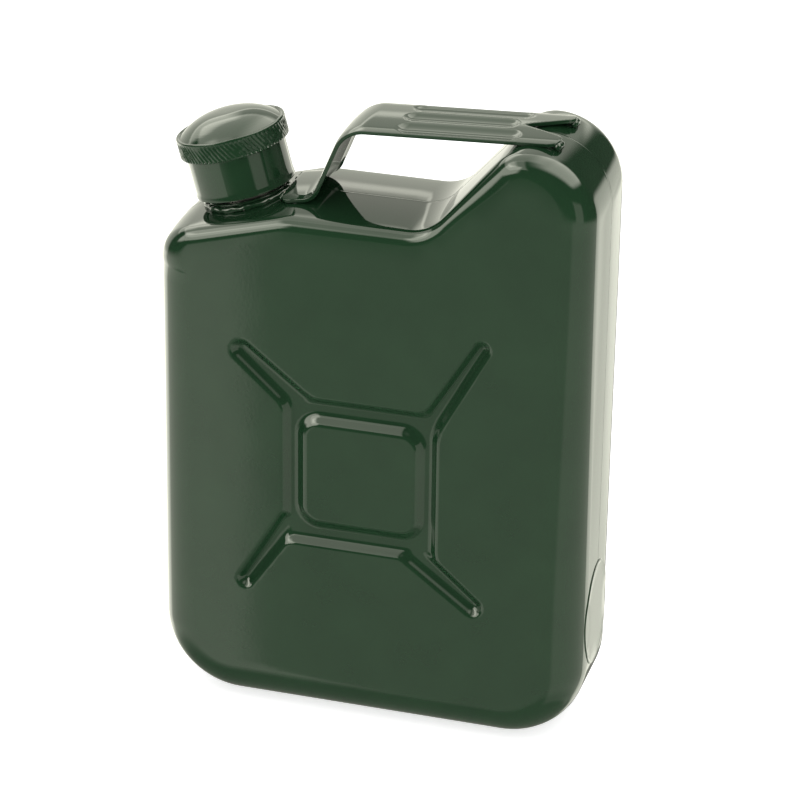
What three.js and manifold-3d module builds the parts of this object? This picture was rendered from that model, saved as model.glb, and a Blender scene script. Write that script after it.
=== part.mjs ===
// A jerry-can-shaped pocket flask in enamelled sheet steel: two pressed half shells welded along
// the middle, a tilted screw neck with a knurled cap, and a fluted strap handle across the saddle.
// Millimetres, +Z up. The front face looks along -Y, the cap is at -X and the handle at +X.
// The origin is the centre of the base.

import * as THREE from 'three';
import { mergeVertices } from 'three/addons/utils/BufferGeometryUtils.js';
import Module from 'manifold-3d';

// ---- Driving dimensions -------------------------------------------------------------------

const WIDTH = 90;
const DEPTH = 31;
const HEIGHT = 128.8;            // top of the body beside the handle
const WALL = 0.6;                // sheet thickness of the shells
const GAP = 0.3;                 // clearance between pieces that touch

const SADDLE_Z = 111.1;          // top of the saddle between the neck and the rise
const SHOULDER_X = -17;          // where the saddle turns down into the shoulder
const RISE_FOOT_X = 11.4;        // where the saddle turns up towards the handle's end
const RISE_TOP_X = 27.2;
const SEAM_WIDTH = 0.6;          // weld bead between the half shells

const TILT = 15.1 * Math.PI / 180;   // lean of the neck axis towards -X
const NECK_X = -29.2;
const BORE_R = 6.2;
const NECK_R = 7.1;
const NECK_TOP = 12.0;
const NECK_TAIL = -2.6;          // the neck tube reaches this far inside the body
const COLLAR_R = 8.1;
const COLLAR_TOP = 1.2;

const PITCH = 2.5;
const NECK_THREAD_R = 7.85;
const NECK_THREAD_START = 4.2;
const NECK_THREAD_TURNS = 2.75;
const INSERT_THREAD_R = 7.4;
const INSERT_THREAD_START = NECK_THREAD_START + PITCH / 2;   // between the neck's ridges
const INSERT_THREAD_TURNS = 1.25;
const INSERT_ROOF = 0.8;
const WASHER_R = 7.8;
const INSERT_ROOT_R = 8.25;
const INSERT_R = 9.1;

const SKIRT_R = 10.04;
const SKIRT_BOTTOM = 2.4;
const CAP_SHEET = 0.6;
const HEAD_R = 11.15;
const HEAD_BAND = 4.3;           // height of the knurled band
const RIM_H = 15.2;              // level of the head's upper rim above the shoulder
const DOME = 2.9;                // rise of the head's pillow-shaped top above its rim
const DOME_R = 10.05;

const STRAP_WIDTH = 16.5;
const STRAP_THICK = 0.8;
const STRAP_END_X = 36;
const STRAP_SLOPE = 0.05;        // rise of the grip per unit of X
const STRAP_Z = 128.0;           // middle of the strap's thickness above x = 0
const FOOT_END_X = -20;
const NOTCH_TIP_X = 27.3;        // V-shaped notch in the strap's end
const NOTCH_HALF = 4.6;

const LABEL_WIDTH = 17;
const LABEL_HEIGHT = 23;
const LABEL_THICK = 0.3;
const LABEL_Z = 25.6;

// ---- Mesh helpers -------------------------------------------------------------------------

const wasm = await Module();
wasm.setup();

function solid(geometry) {
  const plain = geometry.clone();
  plain.deleteAttribute('normal');
  plain.deleteAttribute('uv');
  const merged = mergeVertices(plain, 1e-5);
  const triangles = [];
  for (let i = 0; i < merged.index.count; i += 3) {
    const [a, b, c] = merged.index.array.slice(i, i + 3);
    if (a !== b && b !== c && c !== a) triangles.push(a, b, c);
  }
  return new wasm.Manifold(new wasm.Mesh({
    numProp: 3,
    vertProperties: new Float32Array(merged.attributes.position.array),
    triVerts: new Uint32Array(triangles),
  }));
}

function geometryOf(manifold) {
  const mesh = manifold.getMesh();
  const geometry = new THREE.BufferGeometry();
  geometry.setAttribute('position', new THREE.BufferAttribute(mesh.vertProperties, 3));
  geometry.setIndex(new THREE.BufferAttribute(mesh.triVerts, 1));
  geometry.computeVertexNormals();
  return geometry;
}

function union(geometries) {
  return geometries.map(solid).reduce((sum, piece) => sum.add(piece));
}

// Triangles that fill a ring, turning the same way as the ring does.
function fill(ring) {
  const contour = ring.map((p) => new THREE.Vector2(p.u, p.v));
  const { area } = THREE.ShapeUtils;
  return THREE.ShapeUtils.triangulateShape(contour, []).map(([a, b, c]) => (
    area([contour[a], contour[b], contour[c]]) * area(contour) > 0 ? [a, b, c] : [a, c, b]
  ));
}

// A closed mesh through rings of equal length; the two end rings are filled in.
function loft(rings) {
  const count = rings[0].length;
  const positions = rings.flat().flatMap((p) => [p.x, p.y, p.z]);
  const faces = [];
  for (let r = 0; r + 1 < rings.length; r++) {
    for (let i = 0; i < count; i++) {
      const j = (i + 1) % count;
      const low = r * count;
      const high = low + count;
      faces.push(low + i, low + j, high + j, low + i, high + j, high + i);
    }
  }
  const last = (rings.length - 1) * count;
  for (const [a, b, c] of fill(rings[0])) faces.push(a, c, b);
  for (const [a, b, c] of fill(rings.at(-1))) faces.push(last + a, last + b, last + c);
  const geometry = new THREE.BufferGeometry();
  geometry.setAttribute('position', new THREE.Float32BufferAttribute(positions, 3));
  geometry.setIndex(faces);
  return geometry;
}

// A body of revolution about Z from a profile of [radius, height] points.
function turned(profile, segments = 48) {
  const points = profile.map(([r, h]) => new THREE.Vector2(r, h));
  return new THREE.LatheGeometry(points, segments).rotateX(Math.PI / 2);
}

// A helical ridge: a trapezium, widest at its root, swept up a right-hand helix about Z.
function helix(rootR, crestR, startH, turns) {
  const rootHalf = 0.5;
  const crestHalf = 0.25;
  const stepsPerTurn = 24;
  const steps = Math.round(turns * stepsPerTurn);
  const section = [[rootR, -rootHalf], [crestR, -crestHalf], [crestR, crestHalf], [rootR, rootHalf]];
  const rings = [];
  for (let i = 0; i <= steps; i++) {
    const angle = (i / stepsPerTurn) * 2 * Math.PI;
    const h = startH + (i / stepsPerTurn) * PITCH;
    rings.push(section.map(([r, dh]) => ({
      x: r * Math.cos(angle), y: r * Math.sin(angle), z: h + dh, u: r, v: dh,
    })));
  }
  return crestR > rootR ? loft(rings.reverse()) : loft(rings);
}

// ---- Body outline -------------------------------------------------------------------------

// Corners of the body seen from the front, anticlockwise: corner radius r, edge rounding round
// from the start of the corner to its end, and crown, how far the middle of the narrow wall
// stands above its two edges.
function bodyCorners() {
  const shoulderDrop = (SHOULDER_X + WIDTH / 2) * Math.tan(TILT);
  return [
    { x: -WIDTH / 2, z: 0, r: 17, round: [9, 9], crown: 0 },
    { x: WIDTH / 2, z: 0, r: 16.5, round: [9, 9], crown: 0 },
    { x: WIDTH / 2, z: HEIGHT, r: 13.6, round: [6.5, 3.8], crown: 0.2 },
    { x: RISE_TOP_X, z: HEIGHT, r: 8, round: [3.8, 4.2], crown: 0.5 },
    { x: RISE_FOOT_X, z: SADDLE_Z, r: 9, round: [2.5, 2.6], crown: 0.7 },
    { x: SHOULDER_X, z: SADDLE_Z, r: 14, round: [2.7, 2.7], crown: 0.7 },
    { x: -WIDTH / 2, z: SADDLE_Z - shoulderDrop, r: 10, round: [3, 8.5], crown: 0.5 },
  ];
}

function bodyOutline() {
  const corners = bodyCorners();
  const stepAngle = 12 * Math.PI / 180;
  const outline = [];
  corners.forEach((corner, i) => {
    const here = new THREE.Vector2(corner.x, corner.z);
    const before = corners.at(i - 1);
    const after = corners[(i + 1) % corners.length];
    const arriving = here.clone().sub(new THREE.Vector2(before.x, before.z)).normalize();
    const leaving = new THREE.Vector2(after.x, after.z).sub(here).normalize();
    const turn = Math.atan2(arriving.cross(leaving), arriving.dot(leaving));
    const side = Math.sign(turn);
    const tangent = corner.r * Math.tan(Math.abs(turn) / 2);
    const outward = new THREE.Vector2(arriving.y, -arriving.x);
    const centre = here.clone().addScaledVector(arriving, -tangent)
      .addScaledVector(outward, -side * corner.r);
    const steps = Math.ceil(Math.abs(turn) / stepAngle);
    for (let k = 0; k <= steps; k++) {
      const normal = outward.clone().rotateAround(new THREE.Vector2(), turn * k / steps);
      const point = centre.clone().addScaledVector(normal, side * corner.r);
      const round = THREE.MathUtils.lerp(corner.round[0], corner.round[1], k / steps);
      outline.push({ point, normal, round, crown: corner.crown });
    }
  });
  return outline;
}

// Half of the narrow wall's section, from the middle plane to the flat face, as
// [distance in from the outline, distance from the middle plane].
function wallSection(halfDepth, round, crown) {
  const crownSteps = 3;
  const roundSteps = 5;
  let lean = 0;
  let flatHalf = halfDepth - round;
  for (let pass = 0; pass < 4; pass++) {
    lean = Math.atan(2 * crown / flatHalf);
    flatHalf = halfDepth - round * (1 - Math.sin(lean));
  }
  const section = [];
  for (let k = 0; k < crownSteps; k++) {
    const share = k / crownSteps;
    section.push([crown * share * share, flatHalf * share]);
  }
  for (let k = 0; k <= roundSteps; k++) {
    const angle = lean + (Math.PI / 2 - lean) * k / roundSteps;
    section.push([
      crown + round * (Math.cos(lean) - Math.cos(angle)),
      flatHalf + round * (Math.sin(angle) - Math.sin(lean)),
    ]);
  }
  return section;
}

// The body's outer form, or the form a given distance inside it.
function bodyForm(inside) {
  const halfDepth = DEPTH / 2 - inside;
  const walls = bodyOutline().map((spot) => ({
    ...spot, section: wallSection(halfDepth, spot.round - inside, spot.crown),
  }));
  const rows = walls[0].section.length;
  const ringAt = (row, sideOfMiddle) => walls.map(({ point, normal, section }) => {
    const [inset, y] = section[row];
    const spot = point.clone().addScaledVector(normal, -(inset + inside));
    return { x: spot.x, y: sideOfMiddle * y, z: spot.y, u: spot.x, v: spot.y };
  });
  const rings = [];
  for (let row = rows - 1; row > 0; row--) rings.push(ringAt(row, 1));
  for (let row = 0; row < rows; row++) rings.push(ringAt(row, -1));
  return solid(loft(rings));
}

// ---- Pressed cross ------------------------------------------------------------------------

const GROOVE_DEPTH = 1.5;
const GROOVE_WALL = 1.4;         // width of the sloping side of a groove
const PANEL = { x: -1.0, z: 56.0 };
const FRAME_HALF = { x: 16.2, z: 16.6 };
const ISLAND_HALF = { x: 11.5, z: 10.7 };
const ARM_TIP_R = 1.9;
const ARM_ROOT_R = 2.6;
const ARMS = [
  { tip: [-25.7, 80.9], root: [-14.0, 71.1], wider: 0.5 },
  { tip: [23.7, 87.8], root: [12.6, 68.6], wider: 0 },
  { tip: [22.9, 30.8], root: [10.9, 40.4], wider: 0.25 },
  { tip: [-25.2, 29.4], root: [-16.2, 43.6], wider: 0 },
];

function roundedRectangle(path, centre, half, radius) {
  const { x, z } = centre;
  path.moveTo(x + half.x, z - half.z + radius);
  path.absarc(x + half.x - radius, z + half.z - radius, radius, 0, Math.PI / 2);
  path.absarc(x - half.x + radius, z + half.z - radius, radius, Math.PI / 2, Math.PI);
  path.absarc(x - half.x + radius, z - half.z + radius, radius, Math.PI, 1.5 * Math.PI);
  path.absarc(x + half.x - radius, z - half.z + radius, radius, 1.5 * Math.PI, 2 * Math.PI);
  return path;
}

function taperedSlot(tip, tipR, root, rootR) {
  const along = Math.atan2(tip[1] - root[1], tip[0] - root[0]);
  const lean = Math.asin((rootR - tipR) / Math.hypot(tip[0] - root[0], tip[1] - root[1]));
  const shape = new THREE.Shape();
  shape.absarc(tip[0], tip[1], tipR, along - Math.PI / 2 + lean, along + Math.PI / 2 - lean);
  shape.absarc(root[0], root[1], rootR, along + Math.PI / 2 - lean, along + 1.5 * Math.PI + lean);
  return shape;
}

// The tool that presses the cross into the front face, with sloping sides.
function crossTool(grow) {
  const reach = 2;
  const frame = roundedRectangle(
    new THREE.Shape(), PANEL,
    { x: FRAME_HALF.x + grow, z: FRAME_HALF.z + grow }, 1.8 + grow,
  );
  frame.holes.push(roundedRectangle(
    new THREE.Path(), PANEL,
    { x: ISLAND_HALF.x - grow, z: ISLAND_HALF.z - grow }, 2.6,
  ));
  const slots = ARMS.map(({ tip, root, wider }) => (
    taperedSlot(tip, ARM_TIP_R + wider + grow, root, ARM_ROOT_R + wider + grow)
  ));
  const tools = [frame, ...slots].map((shape) => {
    const tool = new THREE.ExtrudeGeometry(shape, {
      depth: reach,
      curveSegments: 5,
      bevelThickness: GROOVE_DEPTH + grow,
      bevelSize: GROOVE_WALL,
      bevelOffset: -GROOVE_WALL,
      bevelSegments: 1,
    });
    return tool.rotateX(Math.PI / 2).translate(0, -DEPTH / 2, 0);
  });
  return union(tools);
}

function bothFaces(tool) {
  return tool.add(tool.mirror([0, 1, 0]));
}

// ---- Neck and cap, about their own axis ---------------------------------------------------

const neckPlace = new THREE.Matrix4().makeRotationY(-TILT).setPosition(
  NECK_X, 0, SADDLE_Z - (SHOULDER_X - NECK_X) * Math.tan(TILT),
);

function placed(geometry) {
  return geometry.clone().applyMatrix4(neckPlace);
}

function neck() {
  const tube = turned([
    [BORE_R, NECK_TAIL], [NECK_R, NECK_TAIL], [NECK_R, NECK_TOP - 0.3], [NECK_R - 0.3, NECK_TOP],
    [BORE_R + 0.3, NECK_TOP], [BORE_R, NECK_TOP - 0.3], [BORE_R, NECK_TAIL],
  ]);
  const ridge = helix(NECK_R - 0.3, NECK_THREAD_R, NECK_THREAD_START, NECK_THREAD_TURNS);
  return geometryOf(union([tube, ridge]));
}

function ring(innerR, outerR, low, high, edge) {
  return turned([
    [innerR, low], [outerR, low], [outerR, high - edge], [outerR - edge, high],
    [innerR, high], [innerR, low],
  ]);
}

function capShell() {
  const t = CAP_SHEET;
  const headBottom = RIM_H - HEAD_BAND;
  const pillow = (r, drop) => [
    r, RIM_H - 0.25 - drop + (DOME + 0.25) * (1 - (r / DOME_R) ** 3),
  ];
  return turned([
    pillow(0, t), pillow(4, t), pillow(7, t), [9.4, RIM_H - t - 0.3], [HEAD_R - t, RIM_H - 1.2],
    [HEAD_R - t, headBottom + t + 0.4], [SKIRT_R - t, headBottom + t],
    [SKIRT_R - t, SKIRT_BOTTOM], [SKIRT_R, SKIRT_BOTTOM],
    [SKIRT_R, headBottom], [HEAD_R - 0.3, headBottom + 0.2], [HEAD_R, headBottom + 0.7],
    [HEAD_R, RIM_H - 0.6], [HEAD_R - 0.2, RIM_H - 0.15], [10.6, RIM_H], [DOME_R, RIM_H - 0.25],
    pillow(9.2, 0), pillow(8, 0), pillow(6.4, 0), pillow(4.4, 0), pillow(2.2, 0), pillow(0, 0),
  ]);
}

function capInsert() {
  const roofTop = RIM_H - CAP_SHEET - GAP;
  const roofBottom = roofTop - INSERT_ROOF;
  const cup = turned([
    [0, roofBottom], [INSERT_ROOT_R, roofBottom], [INSERT_ROOT_R, SKIRT_BOTTOM + 0.3],
    [INSERT_R, SKIRT_BOTTOM + 0.3], [INSERT_R, roofTop], [0, roofTop],
  ]);
  const ridge = helix(
    INSERT_ROOT_R + 0.3, INSERT_THREAD_R, INSERT_THREAD_START, INSERT_THREAD_TURNS,
  );
  return geometryOf(union([cup, ridge]));
}

function capWasher() {
  const low = NECK_TOP + GAP;
  const high = RIM_H - CAP_SHEET - 2 * GAP - INSERT_ROOF;
  return turned([[0, low], [WASHER_R, low], [WASHER_R, high], [0, high]]);
}

// ---- Shells and seam ----------------------------------------------------------------------

function slab(lowY, highY) {
  const span = 400;
  return solid(new THREE.BoxGeometry(span, highY - lowY, span).translate(0, (lowY + highY) / 2, 0));
}

function shells() {
  const outer = bodyForm(0).subtract(bothFaces(crossTool(0)));
  const cavity = bodyForm(WALL).subtract(bothFaces(crossTool(WALL)));
  const hole = solid(placed(
    new THREE.CylinderGeometry(NECK_R + GAP, NECK_R + GAP, 16, 48).rotateX(Math.PI / 2),
  ));
  const shell = outer.subtract(cavity).subtract(hole);
  const bead = bodyForm(0).subtract(bodyForm(WALL)).subtract(hole);
  const edge = SEAM_WIDTH / 2;
  const far = DEPTH;
  return {
    front: geometryOf(shell.intersect(slab(-far, -edge - GAP))),
    back: geometryOf(shell.intersect(slab(edge + GAP, far))),
    seam: geometryOf(bead.intersect(slab(-edge, edge))),
  };
}

// ---- Handle -------------------------------------------------------------------------------

// The strap's middle line seen from the front, with its bends rounded.
function strapLine() {
  const grip = (x) => STRAP_Z + STRAP_SLOPE * x;
  const knots = [
    { x: FOOT_END_X, z: 111.3 },
    { x: -13.6, z: 112.4, r: 3.2 },
    { x: -7.3, z: grip(-7.3), r: 7 },
    { x: STRAP_END_X, z: grip(STRAP_END_X) },
  ];
  const line = [];
  const bendSteps = 6;
  knots.forEach((knot, i) => {
    const here = new THREE.Vector2(knot.x, knot.z);
    if (!knot.r) {
      line.push(here);
      return;
    }
    const before = new THREE.Vector2(knots[i - 1].x, knots[i - 1].z);
    const after = new THREE.Vector2(knots[i + 1].x, knots[i + 1].z);
    const arriving = here.clone().sub(before).normalize();
    const leaving = after.clone().sub(here).normalize();
    const turn = Math.atan2(arriving.cross(leaving), arriving.dot(leaving));
    const side = Math.sign(turn);
    const outward = new THREE.Vector2(arriving.y, -arriving.x);
    const centre = here.clone().addScaledVector(arriving, -knot.r * Math.tan(Math.abs(turn) / 2))
      .addScaledVector(outward, -side * knot.r);
    for (let k = 0; k <= bendSteps; k++) {
      const normal = outward.clone().rotateAround(new THREE.Vector2(), turn * k / bendSteps);
      line.push(centre.clone().addScaledVector(normal, side * knot.r));
    }
  });
  return line;
}

function strap() {
  const line = strapLine();
  const normals = line.map((point, i) => {
    const a = line[Math.max(i - 1, 0)];
    const b = line[Math.min(i + 1, line.length - 1)];
    const along = b.clone().sub(a).normalize();
    return new THREE.Vector2(-along.y, along.x);
  });
  const offset = (side) => line.map((p, i) => (
    p.clone().addScaledVector(normals[i], side * STRAP_THICK / 2)
  ));
  const outline = new THREE.Shape([...offset(-1), ...offset(1).reverse()]);
  return new THREE.ExtrudeGeometry(outline, { depth: STRAP_WIDTH, bevelEnabled: false })
    .rotateX(Math.PI / 2).translate(0, STRAP_WIDTH / 2, 0);
}

// A long rounded bar lying along the grip, used for the flutes.
function gripBar(lowX, highX, y, halfWidth, halfHeight) {
  const bar = new THREE.CapsuleGeometry(halfWidth, highX - lowX - 2 * halfWidth, 4, 12)
    .rotateZ(Math.PI / 2).scale(1, 1, halfHeight / halfWidth)
    .rotateY(-Math.atan(STRAP_SLOPE));
  const middle = (lowX + highX) / 2;
  return bar.translate(middle, y, STRAP_Z + STRAP_SLOPE * middle);
}

const FLUTES = [
  { lowX: 3.2, highX: 28, y: -5.5 },
  { lowX: 3.2, highX: 26, y: 0 },
  { lowX: 3.2, highX: 28, y: 5.5 },
];

function handle() {
  const beyond = STRAP_END_X + 4;
  const notch = new THREE.Shape([
    new THREE.Vector2(NOTCH_TIP_X, 0),
    new THREE.Vector2(STRAP_END_X, -NOTCH_HALF),
    new THREE.Vector2(beyond, -NOTCH_HALF),
    new THREE.Vector2(beyond, NOTCH_HALF),
    new THREE.Vector2(STRAP_END_X, NOTCH_HALF),
  ]);
  const notchTool = new THREE.ExtrudeGeometry(notch, { depth: 20, bevelEnabled: false })
    .translate(0, 0, STRAP_Z - 8);
  let body = solid(strap());
  const above = solid(new THREE.BoxGeometry(60, 20, 20).translate(15, 0, STRAP_Z + 11));
  for (const { lowX, highX, y } of FLUTES) {
    const trough = solid(gripBar(lowX, highX, y, 2.3, 1.15)).subtract(above);
    body = body.add(trough);
  }
  for (const { lowX, highX, y } of FLUTES) {
    const hollow = gripBar(lowX + 0.4, highX - 0.4, y, 1.9, 1.0).translate(0, 0, 0.45);
    body = body.subtract(solid(hollow));
  }
  return geometryOf(body.subtract(solid(notchTool)));
}

// A short weld bead lying across the strap's end.
function weldBead(x, y, z, length, radius) {
  return new THREE.CapsuleGeometry(radius, length - 2 * radius, 4, 10).translate(x, y, z);
}

// ---- Side label ---------------------------------------------------------------------------

function sideLabel() {
  const oval = new THREE.Shape();
  oval.absellipse(0, 0, LABEL_WIDTH / 2, LABEL_HEIGHT / 2, 0, 2 * Math.PI);
  return new THREE.ExtrudeGeometry(oval, {
    depth: LABEL_THICK, bevelEnabled: false, curveSegments: 16,
  }).rotateX(Math.PI / 2).rotateZ(Math.PI / 2).translate(WIDTH / 2 + GAP, 0, LABEL_Z);
}

// ---- Assembly -----------------------------------------------------------------------------

const ENAMEL = { color: 0x1f3d22, roughness: 0.12, metalness: 0.0 };
const STEEL = { color: 0xb9b7ae, roughness: 0.3, metalness: 1.0 };
const NYLON = { color: 0xd8d6cd, roughness: 0.55, metalness: 0.0 };
const RUBBER = { color: 0x1b1b1b, roughness: 0.8, metalness: 0.0 };

function piece(name, geometry, finish) {
  const mesh = new THREE.Mesh(geometry, new THREE.MeshStandardMaterial(finish));
  mesh.name = name;
  return mesh;
}

const { front, back, seam } = shells();
const neckGroup = new THREE.Group();
neckGroup.applyMatrix4(neckPlace);
neckGroup.add(
  piece('neck', neck(), STEEL),
  piece('neck_collar', ring(NECK_R + GAP, COLLAR_R, GAP, COLLAR_TOP, 0.2), ENAMEL),
  piece('neck_weld', ring(COLLAR_R + GAP, COLLAR_R + 1.2, GAP, 0.8, 0.4), ENAMEL),
  piece('cap_shell', capShell(), ENAMEL),
  piece('cap_insert', capInsert(), NYLON),
  piece('cap_washer', capWasher(), RUBBER),
);

const PRONG_Y = 6.4;
const FOOT_WELD_Y = 5;
const flask = new THREE.Group();
flask.add(
  piece('front_shell', front, ENAMEL),
  piece('back_shell', back, ENAMEL),
  piece('seam_weld', seam, ENAMEL),
  neckGroup,
  piece('handle', handle(), ENAMEL),
  piece('front_prong_weld', weldBead(STRAP_END_X + 0.95, -PRONG_Y, 128.9, 3.6, 0.6), ENAMEL),
  piece('rear_prong_weld', weldBead(STRAP_END_X + 0.95, PRONG_Y, 128.9, 3.6, 0.6), ENAMEL),
  piece('front_foot_weld', weldBead(FOOT_END_X - 0.8, -FOOT_WELD_Y, 111.0, 4, 0.45), ENAMEL),
  piece('rear_foot_weld', weldBead(FOOT_END_X - 0.8, FOOT_WELD_Y, 111.0, 4, 0.45), ENAMEL),
  piece('side_label', sideLabel(), ENAMEL),
);

// The label stands proud on one side only, so the body moves to keep the origin in the middle.
flask.position.x = -(GAP + LABEL_THICK) / 2;

export default flask;
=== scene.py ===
"""A pocket flask shaped like a fuel can, in dark green enamel, standing on a pale studio floor.

Lengths below are millimetres, in the frame of the CAD part: +Z up, the pressed front looks
along -Y, the cap is at -X and the welded end of the handle at +X.
"""
import math

import bmesh
import bpy
import numpy as np
from mathutils import Matrix, Vector, geometry, noise

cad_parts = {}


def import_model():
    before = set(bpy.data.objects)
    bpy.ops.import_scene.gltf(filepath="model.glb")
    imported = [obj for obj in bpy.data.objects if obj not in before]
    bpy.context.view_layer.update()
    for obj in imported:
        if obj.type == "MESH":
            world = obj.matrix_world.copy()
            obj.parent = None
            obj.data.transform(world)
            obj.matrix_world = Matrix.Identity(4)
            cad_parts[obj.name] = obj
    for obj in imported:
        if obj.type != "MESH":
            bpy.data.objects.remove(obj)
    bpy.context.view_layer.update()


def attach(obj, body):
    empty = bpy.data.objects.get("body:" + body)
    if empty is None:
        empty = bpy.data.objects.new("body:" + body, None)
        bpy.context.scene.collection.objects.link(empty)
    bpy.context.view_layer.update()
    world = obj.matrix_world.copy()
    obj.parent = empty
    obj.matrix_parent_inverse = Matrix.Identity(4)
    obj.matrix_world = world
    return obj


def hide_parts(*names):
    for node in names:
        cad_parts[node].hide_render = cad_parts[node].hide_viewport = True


MM = 0.001
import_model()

# ---- Sizes --------------------------------------------------------------------------------

SHIFT_X = -0.3               # the label stands proud on one side, so the body sits off centre
WIDTH, DEPTH, HEIGHT = 90.0, 31.0, 128.8
WALL = 0.6
SADDLE_Z = 111.1
SHOULDER_X = -17.0
RISE_FOOT_X, RISE_TOP_X = 11.4, 27.2
SEAM_HALF = 0.42

TILT = math.radians(15.1)
NECK_X = -29.2
BORE_R, NECK_R, THREAD_R = 6.2, 7.1, 7.85
NECK_TOP, NECK_TAIL = 12.0, -2.6
HOLE_SLACK = 0.3             # the shells' hole is this much wider than the neck
COLLAR_R, COLLAR_LOW, COLLAR_HIGH = 8.1, 0.05, 1.2
NECK_WELD_R, NECK_WELD_H, NECK_WELD_THICK = 8.5, 0.25, 0.62
PITCH = 2.5
NECK_THREAD_START, NECK_THREAD_TURNS = 4.2, 2.75
INSERT_THREAD_START, INSERT_THREAD_TURNS = 5.45, 1.25
INSERT_ROOT_R, INSERT_THREAD_R, INSERT_R = 8.25, 7.4, 9.1

SKIRT_R, SKIRT_BOTTOM = 10.04, 2.4
HEAD_R, HEAD_BAND, RIM_H = 11.15, 4.3, 15.2
DOME = 2.9                   # rise of the cap's top above its rim
CAP_SHEET = 0.6
KNURLS = 76
KNURL_DEPTH = 0.34
KNURL_SLANT = 0.055          # radians of turn for each millimetre of height

STRAP_HALF, STRAP_THICK = 8.25, 0.8
STRAP_END_X, FOOT_END_X = 36.0, -20.0
STRAP_SLOPE, STRAP_Z = 0.05, 128.0
NOTCH_TIP_X, NOTCH_HALF = 27.3, 4.6
FLUTES = [(3.2, 28.0, -5.5), (3.2, 26.2, 0.1), (3.2, 28.0, 5.6)]
FLUTE_HALF, FLUTE_DEPTH = 2.25, 0.7
STRAP_CROWN, STRAP_ROLL = 0.35, 0.35     # fall of the strap towards and at its long edges
STRAP_EDGE_BEVEL = 0.12
PRONG_WELD_Z, PRONG_WELD_THICK = 128.75, 0.8
FOOT_WELD_Z, FOOT_WELD_THICK = 110.9, 0.55

GROOVE_DEPTH, GROOVE_WALL, ISLAND_WALL = 1.5, 2.0, 2.5
PANEL = (-1.0, 56.0)         # middle of the pressed cross
FRAME_HALF, FRAME_R = (16.3, 16.7), 1.8
ISLAND_HALF, ISLAND_R = (11.4, 10.6), 2.9
ARM_BLEND = 1.4              # how softly an arm runs into the frame
ARM_TIP_R, ARM_ROOT_R = 2.0, 2.6
ARMS = [                     # tip, root, extra radius
    ((-25.7, 80.9), (-14.0, 71.1), 0.5),
    ((23.7, 87.8), (12.6, 68.6), 0.0),
    ((22.9, 30.8), (10.9, 40.4), 0.25),
    ((-25.2, 29.4), (-16.2, 43.6), 0.0),
]

LABEL_HALF_Y, LABEL_HALF_Z, LABEL_Z = 8.5, 11.5, 25.6
LABEL_FACE = 0.12            # height of the label's blank face above the wall

# ---- Mesh helpers -------------------------------------------------------------------------


def smoothstep(t):
    t = np.clip(t, 0.0, 1.0)
    return t * t * (3 - 2 * t)


def make(name, points, faces, place=None, sharp=40):
    """A mesh object from points in millimetres, moved by place and then by the body's shift."""
    place = place or Matrix.Identity(4)
    mesh = bpy.data.meshes.new(name)
    verts = [(place @ Vector(p) + Vector((SHIFT_X, 0, 0))) * MM for p in points]
    mesh.from_pydata([tuple(v) for v in verts], [], [tuple(f) for f in faces])
    mesh.validate()
    obj = bpy.data.objects.new(name, mesh)
    bpy.context.scene.collection.objects.link(obj)
    tidy_normals(obj, sharp)
    return obj


def tidy_normals(obj, sharp):
    bm = bmesh.new()
    bm.from_mesh(obj.data)
    bmesh.ops.remove_doubles(bm, verts=bm.verts, dist=1e-7)
    bmesh.ops.recalc_face_normals(bm, faces=bm.faces)
    bm.to_mesh(obj.data)
    bm.free()
    obj.data.shade_smooth()
    obj.data.set_sharp_from_angle(angle=math.radians(sharp))


def bake(obj, sharp=40):
    """Applies the object's modifiers."""
    graph = bpy.context.evaluated_depsgraph_get()
    mesh = bpy.data.meshes.new_from_object(obj.evaluated_get(graph))
    obj.modifiers.clear()
    obj.data = mesh
    mesh.shade_smooth()
    mesh.set_sharp_from_angle(angle=math.radians(sharp))


def thicken(obj, thickness, offset):
    mod = obj.modifiers.new("sheet", "SOLIDIFY")
    mod.thickness = thickness * MM
    mod.offset = offset
    mod.use_even_offset = True


def grid_faces(rows, cols, wrap_rows=False, wrap_cols=True):
    faces = []
    for r in range(rows if wrap_rows else rows - 1):
        for c in range(cols if wrap_cols else cols - 1):
            r2 = (r + 1) % rows
            c2 = (c + 1) % cols
            faces.append((r * cols + c, r * cols + c2, r2 * cols + c2, r2 * cols + c))
    return faces


def turned(profile, segments, radius_at=None):
    """A body of revolution about Z from a profile of (radius, height) points.

    radius_at(r, h, angle) may change a point's radius. A profile that starts on the axis also
    ends there, and make() merges its points on the axis.
    """
    points = []
    for r, h in profile:
        for k in range(segments):
            angle = 2 * math.pi * k / segments
            rr = radius_at(r, h, angle) if radius_at and r > 0 else r
            points.append((rr * math.cos(angle), rr * math.sin(angle), h))
    on_axis = profile[0][0] == 0
    return points, grid_faces(len(profile), segments, wrap_rows=not on_axis)


def smooth_profile(corners, step=0.25):
    """A profile through (radius, height, rounding) corners, with each corner rounded."""
    out = []
    count = len(corners)
    for i, (r, h, rounding) in enumerate(corners):
        here = Vector((r, h))
        if rounding == 0:
            out.append((r, h))
            continue
        before = Vector(corners[i - 1][:2])
        after = Vector(corners[(i + 1) % count][:2])
        a = here + (before - here).normalized() * min(rounding, (before - here).length * 0.49)
        b = here + (after - here).normalized() * min(rounding, (after - here).length * 0.49)
        steps = max(3, int(rounding / step * 2))
        for k in range(steps + 1):
            t = k / steps
            p = a.lerp(here, t).lerp(here.lerp(b, t), t)
            out.append((p.x, p.y))
    return out


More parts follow.
